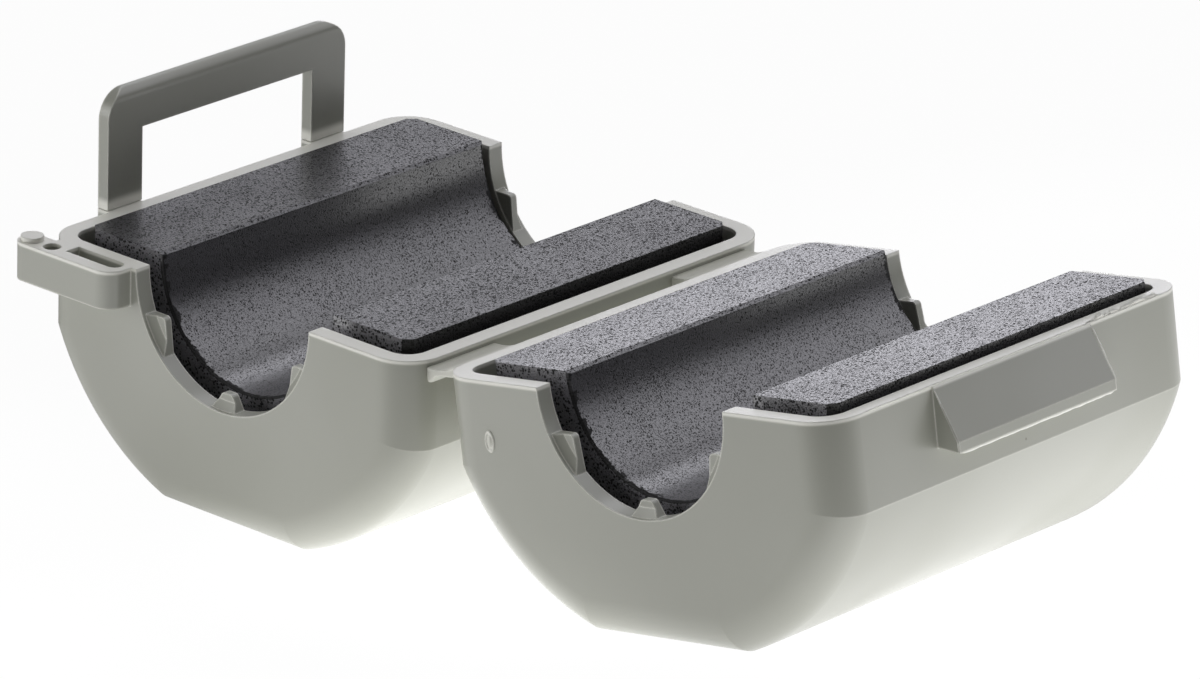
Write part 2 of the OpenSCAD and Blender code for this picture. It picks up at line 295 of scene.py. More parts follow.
def rim_mask_group() -> bpy.types.NodeTree:
    """Builds the group that finds a plane at a set height by the parting plane of both halves.

    Both parting planes rise by the tilt from the hinge line, so the mask measures the height
    over them after folding X over that line. It fades more slowly above the plane than below
    it, so that the nylon's painted highlight reaches the feet of the hoop too, and not the walls
    below the rim.

    Returns:
        The node group, with output Mask, 1 at the plane and 0 beyond the depth.
    """
    fade_above, solid_from = 0.33, 0.6
    inputs = {"Fold X": 0.0, "Fold Z": 0.014, "Tilt": 5.15, "Over": 0.0004, "Depth": 0.0003}
    sheet, given, out = new_group("rim_mask", inputs, ("Mask",))
    place = sheet.split(given.outputs["Vector"])
    turn = sheet.math("RADIANS", given.outputs["Tilt"])
    out_x = sheet.math("ABSOLUTE", sheet.math("SUBTRACT", place[0], given.outputs["Fold X"]))
    up_z = sheet.math("SUBTRACT", place[2], given.outputs["Fold Z"])
    upright = sheet.math("MULTIPLY", up_z, sheet.math("COSINE", turn))
    leaning = sheet.math("MULTIPLY", out_x, sheet.math("SINE", turn))
    level = sheet.math("SUBTRACT", upright, leaning)
    signed = sheet.math("ADD", level, given.outputs["Over"])
    above = sheet.math("MULTIPLY", sheet.math("MAXIMUM", signed, 0.0), fade_above)
    over = sheet.math("MAXIMUM", above, sheet.math("MULTIPLY", signed, -1.0))
    far = sheet.math("DIVIDE", over, given.outputs["Depth"])
    near = sheet.math("SUBTRACT", 1.0, far, clamp=True)
    sheet.feed(out, "Mask", sheet.ramp(near, 0.0, solid_from))
    return sheet.tree


def pits_group() -> bpy.types.NodeTree:
    """Builds the group for scattered round pits: one in each chosen cell of a Voronoi pattern.

    A pit is as wide as the Size times a random number between the least and the most.

    Returns:
        The node group, with output Mask.
    """
    least, most = 0.5, 1.3
    inputs = {"Cells": 3000.0, "Share": 0.5, "Size": 0.25, "Softness": 0.12}
    sheet, given, out = new_group("scattered_pits", inputs, ("Mask",))
    cells = sheet.add("TexVoronoi", feature="F1")
    sheet.feed(cells, "Vector", given.outputs["Vector"])
    sheet.feed(cells, "Scale", given.outputs["Cells"])
    chosen = sheet.add("SeparateColor")
    sheet.feed(chosen, 0, cells.outputs["Color"])
    chance = sheet.math("MULTIPLY", chosen.outputs[1], most - least)
    width = sheet.math("MULTIPLY", given.outputs["Size"], sheet.math("ADD", chance, least))
    deep = sheet.math("SUBTRACT", width, cells.outputs["Distance"])
    near = sheet.math("DIVIDE", deep, given.outputs["Softness"], clamp=True)
    kept = sheet.math("LESS_THAN", chosen.outputs[0], given.outputs["Share"])
    sheet.feed(out, "Mask", sheet.math("MULTIPLY", near, kept))
    return sheet.tree


def sinter_group(pits: bpy.types.NodeTree) -> bpy.types.NodeTree:
    """Builds the group for pressed and fired ferrite: grains, dark gaps, pits and larger voids.

    A gap opens where the grain's noise falls below a level that slow clouds raise and lower.

    Args:
        pits: The group for scattered pits.

    Returns:
        The node group, with outputs Tone, Pits and Height.
    """
    grain_octaves, grain_roughness = 1.5, 0.6
    cloud_scale, cloud_swing = 260.0, 0.22
    gap_softness, gap_strength, hole_depth = 0.035, 0.9, 0.6
    voids = {"Cells": 900.0, "Share": 0.12, "Size": 0.09, "Softness": 0.05}
    sheet, given, out = new_group(
        "sintered_grain",
        {"Grain": 9000.0, "Gaps": 0.43, "Pit Cells": 3000.0, "Pit Share": 0.6, "Pit Size": 0.22},
        ("Tone", "Pits", "Height"),
    )
    vector = given.outputs["Vector"]
    tone = sheet.noise(vector, given.outputs["Grain"], grain_octaves, grain_roughness)
    clouds = sheet.math("SUBTRACT", sheet.noise(vector, cloud_scale), 0.5)
    level = sheet.math("ADD", given.outputs["Gaps"], sheet.math("MULTIPLY", clouds, cloud_swing))
    below = sheet.math("SUBTRACT", level, tone)
    gaps = sheet.math("DIVIDE", below, gap_softness, clamp=True)
    fine = sheet.group(pits, {
        "Vector": vector,
        "Cells": given.outputs["Pit Cells"],
        "Share": given.outputs["Pit Share"],
        "Size": given.outputs["Pit Size"],
    })
    coarse = sheet.group(pits, {"Vector": vector, **voids})
    round_holes = sheet.math("MAXIMUM", fine.outputs[0], coarse.outputs[0])
    holes = sheet.math("MAXIMUM", round_holes, sheet.math("MULTIPLY", gaps, gap_strength))
    sunk = sheet.math("MULTIPLY", holes, hole_depth)
    sheet.feed(out, "Tone", tone)
    sheet.feed(out, "Pits", holes)
    sheet.feed(out, "Height", sheet.math("SUBTRACT", tone, sunk))
    return sheet.tree


def moulded_group(pits: bpy.types.NodeTree) -> bpy.types.NodeTree:
    """Builds the group for moulded nylon: slow flow clouds, a fine skin and rare dark specks.

    Args:
        pits: The group for scattered pits.

    Returns:
        The node group, with outputs Cloud, Specks and Height.
    """
    skin_scale, skin_roughness, skin_share = 3800.0, 0.6, 0.4
    speck_size, speck_softness = 0.05, 0.03
    sheet, given, out = new_group(
        "moulded_skin",
        {"Cloud Scale": 70.0, "Speck Cells": 420.0, "Speck Share": 0.07},
        ("Cloud", "Specks", "Height"),
    )
    vector = given.outputs["Vector"]
    cloud = sheet.noise(vector, given.outputs["Cloud Scale"])
    skin = sheet.noise(vector, skin_scale, roughness=skin_roughness)
    specks = sheet.group(pits, {
        "Vector": vector,
        "Cells": given.outputs["Speck Cells"],
        "Share": given.outputs["Speck Share"],
        "Size": speck_size,
        "Softness": speck_softness,
    })
    sheet.feed(out, "Cloud", cloud)
    sheet.feed(out, "Specks", specks.outputs[0])
    sheet.feed(out, "Height", sheet.math("ADD", sheet.math("MULTIPLY", skin, skin_share), cloud))
    return sheet.tree


# ---------------------------------------------------------------- place of the halves


@dataclass
class HingePlacing:
    """Place of the two halves, in mm, with the same values as in the part's source.

    It holds the hinge line, the tilt of each half, how far the hinge line lies out from a
    half's middle and up from its rim, the front end of the cases, how far the cores lie off
    the middle, and the radius of their bore.
    """

    hinge: tuple[float, float] = (-0.40537, 14.18020)
    tilt: float = 5.15
    pivot_out: float = 16.0
    pivot_up: float = 0.425
    front_y: float = -15.1
    core_slip: float = 0.25
    bore_radius: float = 6.95

    def from_half(self, x: np.ndarray, z: np.ndarray,
                  half: Body) -> tuple[np.ndarray, np.ndarray]:
        """Moves points of a half's own frame to their place.

        Args:
            x: Distances from the half's middle, away from the hinge, in mm.
            z: Heights above the rim, in mm.
            half: The half that the points belong to.

        Returns:
            World X and Z in mm. X is the hinge line plus or minus the reach, and Z is the
            hinge line plus the rise. Reach and rise are the point's offset from the hinge
            line, turned by the tilt.
        """
        turn = math.radians(self.tilt)
        out, up = x + self.pivot_out, z - self.pivot_up
        reach = out * math.cos(turn) - up * math.sin(turn)
        rise = out * math.sin(turn) + up * math.cos(turn)
        sign = 1.0 if half is Body.LID else -1.0
        return self.hinge[0] + sign * reach, self.hinge[1] + rise

    def points(self, local: np.ndarray, half: Body) -> np.ndarray:
        """Moves an array of points of a half's own frame, in mm, to their place in metres.

        Args:
            local: Array (..., 3): out from the half's middle, along the cable, up from the rim.
            half: The half that the points belong to.

        Returns:
            World points in metres, of the same shape.
        """
        x, z = self.from_half(local[..., 0], local[..., 2], half)
        return np.stack([x, local[..., 1] + self.front_y, z], axis=-1) * MM

    def bore_values(self) -> dict[str, float]:
        """Gives the bore mask's inputs: the fold line, the bore's axis and its radius.

        Returns:
            The inputs' names and values, in metres.
        """
        x, z = self.from_half(np.array(self.core_slip), np.array(self.pivot_up), Body.LID)
        values = {
            "Fold X": self.hinge[0],
            "Axis X": float(x) - self.hinge[0],
            "Axis Z": float(z),
            "Radius": self.bore_radius,
        }
        return {name: value * MM for name, value in values.items()}

    def rim_values(self, drop: float) -> dict[str, float]:
        """Gives the rim mask's inputs for a plane.

        Args:
            drop: How far the plane lies under the faces where the halves meet, in mm.

        Returns:
            The inputs' names and values, in metres and degrees.
        """
        fold_x, fold_z = self.hinge[0] * MM, self.hinge[1] * MM
        return {"Fold X": fold_x, "Fold Z": fold_z, "Tilt": self.tilt, "Over": drop * MM}


# ---------------------------------------------------------------- finishes


@dataclass(frozen=True)
class SharedGroups:
    """The shader node groups that the finishes share, each built once."""

    edge: bpy.types.NodeTree
    rim: bpy.types.NodeTree
    bore: bpy.types.NodeTree
    skin: bpy.types.NodeTree
    grain: bpy.types.NodeTree

    @classmethod
    def build(cls) -> "SharedGroups":
        """Builds every group.

        Returns:
            The groups.
        """
        pits = pits_group()
        skin, grain = moulded_group(pits), sinter_group(pits)
        return cls(edge_mask_group(), rim_mask_group(), bore_mask_group(), skin, grain)


@dataclass(frozen=True)
class Relief:
    """Fine relief of a finish: strength and depth of its bump, and how far sharp edges round."""

    strength: float
    depth: float
    rounding: float

    def feed(self, sheet: NodeSheet, shader: bpy.types.Node, height: object) -> None:
        """Bumps the shader's normal.

        Args:
            sheet: The material's sheet.
            shader: The material's shader.
            height: The socket with the height.
        """
        bump = sheet.add("Bump")
        bump.inputs["Strength"].default_value = self.strength
        bump.inputs["Distance"].default_value = self.depth * MM
        sheet.feed(bump, "Height", height)
        bevel = sheet.add("Bevel", samples=BEVEL_SAMPLES)
        bevel.inputs["Radius"].default_value = self.rounding * MM
        sheet.feed(bump, "Normal", bevel.outputs[0])
        sheet.feed(shader, "Normal", bump.outputs[0])


def new_material(label: str) -> tuple[bpy.types.Material, NodeSheet, bpy.types.Node]:
    """Starts a material.

    Args:
        label: The material's name.

    Returns:
        The material, the sheet of its nodes and its Principled shader.
    """
    material = bpy.data.materials.new(label)
    material.use_nodes = True
    sheet = NodeSheet(material.node_tree)
    return material, sheet, material.node_tree.nodes["Principled BSDF"]


@dataclass(frozen=True)
class Nylon:
    """Grey-green moulded nylon: a satin skin, with a painted highlight in pale along its edges and
    on the top faces of its parting plane.

    A band gives the values of the clouds between which a colour or a roughness changes.
    """

    label: str = "moulded_nylon"
    colour: Colour = (0.395, 0.40, 0.35, 1.0)
    deep: Colour = (0.37, 0.375, 0.322, 1.0)
    # Colour of the painted highlights along the edges and on the parting plane.
    pale: Colour = (0.93, 0.925, 0.85, 1.0)
    speck: Colour = (0.12, 0.11, 0.08, 1.0)
    index: float = 1.7
    roughness: float = 0.33
    cloud_rougher: float = 0.05
    cloud_smoother: float = 0.04
    colour_band: tuple[float, float] = (0.35, 0.65)
    rough_band: tuple[float, float] = (0.3, 0.7)
    edge_gain: float = 14.0
    edge_highlight_share: float = 0.95
    rim_highlight_share: float = 0.95
    speck_share: float = 0.6
    relief: Relief = Relief(strength=0.12, depth=0.05, rounding=0.12)

    def make(self, shared: SharedGroups, placing: HingePlacing) -> bpy.types.Material:
        """Builds the material.

        The colour goes from clouds to a painted highlight on the parting plane and another along
        the edges, then to the specks.

        Args:
            shared: The shared node groups.
            placing: The place of the halves, for the parting planes.

        Returns:
            The finished material.
        """
        material, sheet, shader = new_material(self.label)
        shader.inputs["IOR"].default_value = self.index
        place = sheet.add("TexCoord").outputs["Object"]
        surface = sheet.group(shared.skin, {"Vector": place})
        edges = sheet.group(shared.edge, {"Gain": self.edge_gain})
        parting = sheet.group(shared.rim, {"Vector": place, **placing.rim_values(placing.pivot_up)})
        cloud = surface.outputs["Cloud"]
        clouded = sheet.blend(sheet.ramp(cloud, *self.colour_band), self.deep, self.colour)
        # Painted highlight: the top faces of the rims and the feet of the hoop are mixed towards
        # the pale colour.
        rim_highlight = sheet.math("MULTIPLY", parting.outputs["Mask"], self.rim_highlight_share)
        with_rim_highlight = sheet.blend(rim_highlight, clouded, self.pale)
        # Painted highlight: the edges are mixed towards the pale colour, where light catches them.
        edge_highlight = sheet.math("MULTIPLY", edges.outputs["Mask"], self.edge_highlight_share)
        worn_and_highlit = sheet.blend(edge_highlight, with_rim_highlight, self.pale)
        dirt = sheet.math("MULTIPLY", surface.outputs["Specks"], self.speck_share)
        sheet.feed(shader, "Base Color", sheet.blend(dirt, worn_and_highlit, self.speck))
        rough, smooth = self.roughness + self.cloud_rougher, self.roughness - self.cloud_smoother
        sheet.feed(shader, "Roughness", sheet.ramp(cloud, *self.rough_band, rough, smooth))
        self.relief.feed(sheet, shader, surface.outputs["Height"])
        return material


# Near white: thin flash is paler than the walls, and the colour also paints the bright lines of
# light along it, a painted highlight.
THIN_FLASH = Nylon("nylon_flash_pale_and_painted_highlight", colour=(0.97, 0.97, 0.92, 1.0), deep=(0.95, 0.95, 0.90, 1.0))
# Pale: thin nylon whitened by bending, and also a painted glow of light through the thin webs and a
# painted highlight on the gate mark.
THIN_WEB = Nylon("nylon_web_whitened_and_painted_light", colour=(0.66, 0.66, 0.59, 1.0), deep=(0.60, 0.60, 0.53, 1.0))


@dataclass(frozen=True)
class Ferrite:
    """Dark violet-grey sintered ferrite: grainy ground faces, a smoother bore and chipped edges,
    with painted shade on the side faces deep in the case and painted light on the end faces.

    Lengths are in mm and cells in a metre. A band gives the values of a mask or of the
    grain's tone between which something changes.
    """

    label: str = "sintered_ferrite"
    colour: Colour = (0.007, 0.0066, 0.0085, 1.0)
    light: Colour = (0.032, 0.030, 0.037, 1.0)
    # Pale colour of the end faces: painted light, where light falls on them.
    end: Colour = (0.20, 0.195, 0.215, 1.0)
    pit: Colour = (0.001, 0.001, 0.001, 1.0)
    index: float = 1.55
    sheen_index: float = 2.15
    sheen_roughness: float = 0.27
    grain: float = 11000.0
    colour_band: tuple[float, float] = (0.40, 0.62)
    sheen_band: tuple[float, float] = (0.42, 0.60)
    rough_band: tuple[float, float] = (0.35, 0.7)
    pit_cells: float = 5400.0
    gaps: float = 0.425
    gaps_less_in_bore: float = 0.02
    pit_size: float = 0.42
    pit_less_in_bore: float = 0.11
    hole_share: float = 0.95
    roughness: float = 0.46
    tone_smoother: float = 0.08
    tone_rougher: float = 0.12
    bore_smoother: float = 0.10
    hole_rougher: float = 0.35
    edge_gain: float = 5.0
    edge_band: tuple[float, float] = (0.1, 0.5)
    crumb_octaves: float = 3.0
    crumb_roughness: float = 0.7
    chip_cells: float = 2600.0
    chip_band: tuple[float, float] = (0.48, 0.60)
    bite_cells: float = 1100.0
    bite_band: tuple[float, float] = (0.35, 0.7)
    bite: tuple[float, float] = (0.05, 0.55)
    end_band: tuple[float, float] = (0.9, 0.98)
    # Depth under the top faces, in mm, beyond which the side faces get painted shade.
    painted_shade_depth: float = 0.9
    # Where along X, in mm, the sheen drops towards the outer side of the base core: painted shade
    # and dark reflection of the hoop.
    hoop_shade_strip: tuple[float, float] = (-27.0, -20.0)
    hoop_shade_level: float = 0.72
    tone_dull: float = 0.55
    bore_relief_less: float = 0.45
    relief: Relief = Relief(strength=1.0, depth=0.045, rounding=0.1)

    def make(self, shared: SharedGroups, placing: HingePlacing,
             span: tuple[float, float]) -> bpy.types.Material:
        """Builds the material.

        Args:
            shared: The shared node groups.
            placing: The place of the halves, for the bore and the top faces.
            span: Where the cores start and end along the cable, in metres.

        Returns:
            The finished material.
        """
        material, sheet, shader = new_material(self.label)
        shader.inputs["IOR"].default_value = self.index
        shader.inputs["Coat IOR"].default_value = self.sheen_index
        shader.inputs["Coat Roughness"].default_value = self.sheen_roughness
        place = sheet.add("TexCoord").outputs["Object"]
        axes = sheet.split(place)
        inside = sheet.group(
            shared.bore, {"Vector": place, **placing.bore_values()}
        ).outputs["Mask"]
        surface = self.grained(sheet, shared, place, inside)
        tone = surface.outputs["Tone"]
        chips = self.chipped(sheet, shared, place, inside, self.to_end(sheet, axes[1], span))
        holes = sheet.math("MAXIMUM", surface.outputs["Pits"], chips)
        # Faces deeper than this under the top, other than the bore, get painted shade: black colour
        # and no sheen.
        top = sheet.group(shared.rim, {
            "Vector": place, **placing.rim_values(0.0), "Depth": self.painted_shade_depth * MM,
        })
        lit_faces = sheet.math("MAXIMUM", inside, top.outputs["Mask"])
        sheet.feed(shader, "Base Color", self.painted(sheet, tone, holes, lit_faces))
        # Painted shade: less sheen towards the outer side of the base core, under the hoop.
        strip = self.hoop_shade_strip[0] * MM, self.hoop_shade_strip[1] * MM
        hoop_shade = sheet.ramp(axes[0], *strip, self.hoop_shade_level, 1.0)
        shine = sheet.ramp(tone, *self.sheen_band, self.tone_dull, 1.0)
        # The sheen leaves the faces with painted shade, and drops on the strip with the hoop's
        # painted shade.
        ground = sheet.math("MULTIPLY", sheet.math("MULTIPLY", hoop_shade, lit_faces), shine)
        whole = sheet.math("SUBTRACT", 1.0, holes, clamp=True)
        sheet.feed(shader, "Coat Weight", sheet.math("MULTIPLY", ground, whole))
        low, high = self.roughness - self.tone_smoother, self.roughness + self.tone_rougher
        flat = sheet.ramp(tone, *self.rough_band, low, high)
        plain = sheet.math("SUBTRACT", flat, sheet.math("MULTIPLY", inside, self.bore_smoother))
        torn = sheet.math("MULTIPLY", holes, self.hole_rougher)
        sheet.feed(shader, "Roughness", sheet.math("ADD", plain, torn, clamp=True))
        less = sheet.math("MULTIPLY", inside, self.bore_relief_less)
        quiet = sheet.math("SUBTRACT", 1.0, less)
        self.relief.feed(sheet, shader, sheet.math("MULTIPLY", surface.outputs["Height"], quiet))
        return material

    def grained(self, sheet: NodeSheet, shared: SharedGroups, place: object,
                inside: object) -> bpy.types.Node:
        """Places the sintered grain, with fewer gaps and smaller pits in the bore.

        Args:
            sheet: The material's sheet.
            shared: The shared node groups.
            place: The Object coordinates.
            inside: The bore mask.

        Returns:
            The grain group's node.
        """
        fewer = sheet.math("MULTIPLY", inside, self.gaps_less_in_bore)
        smaller = sheet.math("MULTIPLY", inside, self.pit_less_in_bore)
        return sheet.group(shared.grain, {
            "Vector": place,
            "Grain": self.grain,
            "Gaps": sheet.math("SUBTRACT", self.gaps, fewer),
            "Pit Cells": self.pit_cells,
            "Pit Share": 1.0,
            "Pit Size": sheet.math("SUBTRACT", self.pit_size, smaller),
        })

    def to_end(self, sheet: NodeSheet, y: object, span: tuple[float, float]) -> object:
        """Gives the distance to the nearer end of the core: half the length less |y - middle|.

        Args:
            sheet: The material's sheet.
            y: The place along the cable.
            span: Where the cores start and end along the cable, in metres.

        Returns:
            The distance's socket, in metres.
        """
        middle, half = sum(span) / 2.0, (span[1] - span[0]) / 2.0
        off_middle = sheet.math("ABSOLUTE", sheet.math("SUBTRACT", y, middle))
        return sheet.math("SUBTRACT", half, off_middle)

    def chipped(self, sheet: NodeSheet, shared: SharedGroups, place: object, inside: object,
                to_end: object) -> object:
        """Masks the chips: ragged edges broken into chips, and bites out of both ends of the bore.

        Args:
            sheet: The material's sheet.
            shared: The shared node groups.
            place: The Object coordinates.
            inside: The bore mask.
            to_end: The distance to the nearer end of the core.

        Returns:
            The chips' mask.
        """
        crumbs = self.crumb_octaves, self.crumb_roughness
        edges = sheet.group(shared.edge, {"Gain": self.edge_gain})
        ragged = sheet.ramp(sheet.noise(place, self.chip_cells, *crumbs), *self.chip_band)
        edge = sheet.ramp(edges.outputs["Mask"], *self.edge_band)
        worn_and_highlit = sheet.math("MULTIPLY", edge, ragged)
        shallow, deep = self.bite[0] * MM, self.bite[1] * MM
        uneven = sheet.noise(place, self.bite_cells, *crumbs)
        bite = sheet.ramp(uneven, *self.bite_band, shallow, deep)
        broken = sheet.math("MULTIPLY", inside, sheet.math("LESS_THAN", to_end, bite))
        return sheet.math("MAXIMUM", worn_and_highlit, broken)

    def painted(self, sheet: NodeSheet, tone: object, holes: object, lit_faces: object) -> object:
        """Mixes the colour: grained body, painted shade in the pits' black on side faces deep in
        the case, painted light in pale on the end faces, then the holes.

        Args:
            sheet: The material's sheet.
            tone: The grain's tone.
            holes: The mask of pits, gaps and chips.
            lit_faces: The mask of the bore and the top faces, which light reaches.

        Returns:
            The colour's socket.
        """
        body = sheet.blend(sheet.ramp(tone, *self.colour_band), self.colour, self.light)
        facing = sheet.split(sheet.add("NewGeometry").outputs["Normal"])
        # Painted light: faces turned along the cable are mixed towards the pale end colour.
        painted_end_light = sheet.ramp(sheet.math("ABSOLUTE", facing[1]), *self.end_band)
        # Painted shade: faces outside the lit mask take the black of the pits.
        ends = sheet.blend(painted_end_light, sheet.blend(lit_faces, self.pit, body), self.end)
        return sheet.blend(sheet.math("MULTIPLY", holes, self.hole_share), ends, self.pit)


# ---------------------------------------------------------------- meshes


def grid_mesh(name: str, points: np.ndarray, closed_u: bool, capped: bool) -> bpy.types.Object:
    """Turns a grid of points into a mesh object.

    Args:
        name: The object's name.
        points: Array of shape (rows, columns, 3), in metres.
        closed_u: Whether the last column joins the first.
        capped: Whether the first and last rows are closed by a face each.

    Returns:
        The new object, linked to the scene.
    """
    rows, columns = points.shape[:2]
    index = np.arange(rows * columns).reshape(rows, columns)
    right = np.roll(index, -1, axis=1)
    last = columns if closed_u else columns - 1
    corners = [index[:-1, :last], right[:-1, :last], right[1:, :last], index[1:, :last]]
    faces = np.stack(corners, axis=-1).reshape(-1, 4).tolist()
    if capped:
        faces.append(index[0, ::-1].tolist())
        faces.append(index[-1].tolist())
    mesh = bpy.data.meshes.new(name)
    mesh.from_pydata(points.reshape(-1, 3).tolist(), [], faces)
    mesh.update()
    mesh.shade_smooth()
    thing = bpy.data.objects.new(name, mesh)
    bpy.context.scene.collection.objects.link(thing)
    return thing


# ---------------------------------------------------------------- stage


def direction_to(azimuth: float, elevation: float) -> Vector:
    """Gives the unit vector to a lamp or camera. Azimuth 0 is towards -Y and 90 towards +X.

    Args:
        azimuth: Angle about Z, in radians.
        elevation: Angle above the table, in radians.

    Returns:
        The vector (sin a cos e, -cos a cos e, sin e).
    """
    flat = math.cos(elevation)
    return Vector((math.sin(azimuth) * flat, -math.cos(azimuth) * flat, math.sin(elevation)))


@dataclass
class SoftBox:
    """One soft area lamp, given by its direction and distance from the bead."""

    name: str
    azimuth: float
    elevation: float
    distance: float
    size: tuple[float, float]
    watts: float

    def build(self, aim: Vector) -> bpy.types.Object:
        """Makes the lamp and turns it to the bead.

        Args:
            aim: The point that it faces.

        Returns:
            The lamp.
        """
        data = bpy.data.lights.new(self.name, "AREA")
        data.shape = "RECTANGLE"
        data.size, data.size_y = self.size
        data.energy = self.watts
        lamp = bpy.data.objects.new(self.name, data)
        back = direction_to(math.radians(self.azimuth), math.radians(self.elevation))
        lamp.location = aim + back * self.distance
        lamp.rotation_euler = back.to_track_quat("Z", "Y").to_euler()
        bpy.context.scene.collection.objects.link(lamp)
        return lamp


@dataclass(frozen=True)
class SkyLobe:
    """One soft patch of light on the surround, given by its direction, spread and strength."""

    azimuth: float
    elevation: float
    spread: float
    level: float
    cool: bool = False
    core: float = 0.25

    def axis(self) -> tuple[float, float, float]:
        """Gives the unit vector towards the patch. Azimuth 0 is towards +Y and 90 towards +X."""
        a, e = math.radians(self.azimuth), math.radians(self.elevation)
        return math.sin(a) * math.cos(e), math.cos(a) * math.cos(e), math.sin(e)

    def cosines(self) -> tuple[float, float]:
        """Gives the cosines at the patch's edge and at the edge of its even core."""
        spread = self.spread
        return math.cos(math.radians(spread)), math.cos(math.radians(spread * self.core))


@dataclass(frozen=True)
class FloorPool:
    """One soft pool of light on the table, in mm: its direction, distance, radius and strength."""

    azimuth: float
    distance: float
    radius: float
    level: float
    core: float = 0.4

    def centre(self) -> tuple[float, float, float]:
        """Gives the pool's middle on the table, in metres."""
        a = math.radians(self.azimuth)
        return self.distance * MM * math.sin(a), self.distance * MM * math.cos(a), 0.0


SKY = (
    SkyLobe(225.0, 4.0, 34.0, 3.05),
    SkyLobe(322.5, 0.0, 15.0, 3.4, cool=True),
    SkyLobe(308.0, 14.0, 16.0, 0.6, cool=True),
    SkyLobe(325.0, 44.0, 14.0, 2.1, cool=True),
    SkyLobe(337.5, 32.0, 32.0, 0.6, cool=True),
    SkyLobe(22.5, 32.0, 32.0, 1.25, cool=True),
    SkyLobe(0.0, 89.0, 40.0, 1.05),
)
TABLE = (
    FloorPool(0.0, 0.0, 30.0, 1.5),
    FloorPool(0.0, 52.0, 44.0, 0.5),
    FloorPool(45.0, 52.0, 44.0, 0.6),
    FloorPool(90.0, 52.0, 44.0, 1.25),
    FloorPool(135.0, 52.0, 44.0, 0.33),
    FloorPool(180.0, 52.0, 44.0, 0.45),
    FloorPool(225.0, 52.0, 44.0, 0.62),
    FloorPool(45.0, 150.0, 120.0, 0.95),
    FloorPool(225.0, 150.0, 120.0, 0.88),
)


@dataclass
class Studio:
    """Pale table and white surround with soft patches of light, and one weak lamp."""

    aim: Vector = field(default_factory=lambda: Vector((0.0, 0.0, 0.012)))
    boxes: tuple[SoftBox, ...] = (SoftBox("top_box", -150.0, 68.0, 0.55, (0.5, 0.4), 0.05),)
    lobes: tuple[SkyLobe, ...] = SKY
    pools: tuple[FloorPool, ...] = TABLE
    room_level: float = 0.01
    cool_tint: tuple[float, float, float] = (0.98, 0.975, 1.045)
    table_level: float = 0.02
    table_reach: float = 3.0
    table_grey: Colour = (0.35, 0.35, 0.35, 1.0)
    seen_white: float = 0.97

    def floor(self) -> None:
        """Makes the floor: a matte white shooting table that glows in soft pools.

        The glow is the sum of the table's level and of each pool's level times a disc that
        fades from its core to its radius. The camera sees the table almost plain white.
        """
        size = self.table_reach
        grid = np.array([[[x, y, 0.0] for x in (-size, size)] for y in (-size, size)])
        ground = grid_mesh("studio_floor", grid, False, False)
        material, sheet, shader = new_material("floor_white")
        material.node_tree.nodes.remove(shader)
        place = sheet.add("TexCoord").outputs["Object"]
        glow = self.table_level
        for pool in self.pools:
            apart = sheet.add("VectorMath", operation="DISTANCE")
            sheet.feed(apart, 0, place)
            sheet.feed(apart, 1, pool.centre())
            full, rim = pool.radius * pool.core * MM, pool.radius * MM
            disc = sheet.ramp(apart.outputs["Value"], full, rim, 1.0, 0.0)
            glow = sheet.math("ADD", glow, sheet.math("MULTIPLY", disc, pool.level))
        matte = sheet.add("BsdfDiffuse")
        matte.inputs["Color"].default_value = self.table_grey
        under = sheet.add("Emission")
        sheet.feed(under, "Strength", glow)
        table = sheet.add("AddShader")
        sheet.feed(table, 0, matte.outputs[0])
        sheet.feed(table, 1, under.outputs[0])
        white = sheet.add("Emission")
        white.inputs["Strength"].default_value = 1.0
        seen = sheet.add("LightPath").outputs["Is Camera Ray"]
        mix = sheet.add("MixShader")
        sheet.feed(mix, 0, sheet.math("MULTIPLY", seen, self.seen_white))
        sheet.feed(mix, 1, table.outputs[0])
        sheet.feed(mix, 2, white.outputs[0])
        sheet.feed(material.node_tree.nodes["Material Output"], 0, mix.outputs[0])
        ground.data.materials.append(material)

    def surround(self) -> None:
        """Lights the world with the soft patches, and shows plain white behind the bead.

        Plain patches are grey and the cool ones take the cool tint. A patch is a smooth ramp
        of the cosine between a direction and the patch's own.
        """
        world = bpy.data.worlds.new("white_surround")
        bpy.context.scene.world = world
        world.use_nodes = True
        sheet = NodeSheet(world.node_tree)
        shader = world.node_tree.nodes["Background"]
        direction = sheet.add("TexCoord").outputs["Generated"]
        plain, cool = self.room_level, 0.0
        for lobe in self.lobes:
            towards = sheet.add("VectorMath", operation="DOT_PRODUCT")
            sheet.feed(towards, 0, direction)
            sheet.feed(towards, 1, lobe.axis())
            patch = sheet.ramp(towards.outputs["Value"], *lobe.cosines())
            part = sheet.math("MULTIPLY", patch, lobe.level)
            if lobe.cool:
                cool = sheet.math("ADD", cool, part)
            else:
                plain = sheet.math("ADD", plain, part)
        light = sheet.add("CombineColor")
        for index, share in enumerate(self.cool_tint):
            tinted = sheet.math("MULTIPLY", cool, share)
            sheet.feed(light, index, sheet.math("ADD", plain, tinted))
        seen = sheet.add("LightPath").outputs["Is Camera Ray"]
        sheet.feed(shader, "Color", sheet.blend(seen, light.outputs[0], WHITE))
        shader.inputs["Strength"].default_value = 1.0

    def build(self) -> None:
        """Builds the floor, the surround and the lamps."""
        self.floor()
        self.surround()
        for box in self.boxes:
            box.build(self.aim)
        bpy.context.scene.view_settings.view_transform = "Standard"
        LOG.info("studio: %d lamps", len(self.boxes))


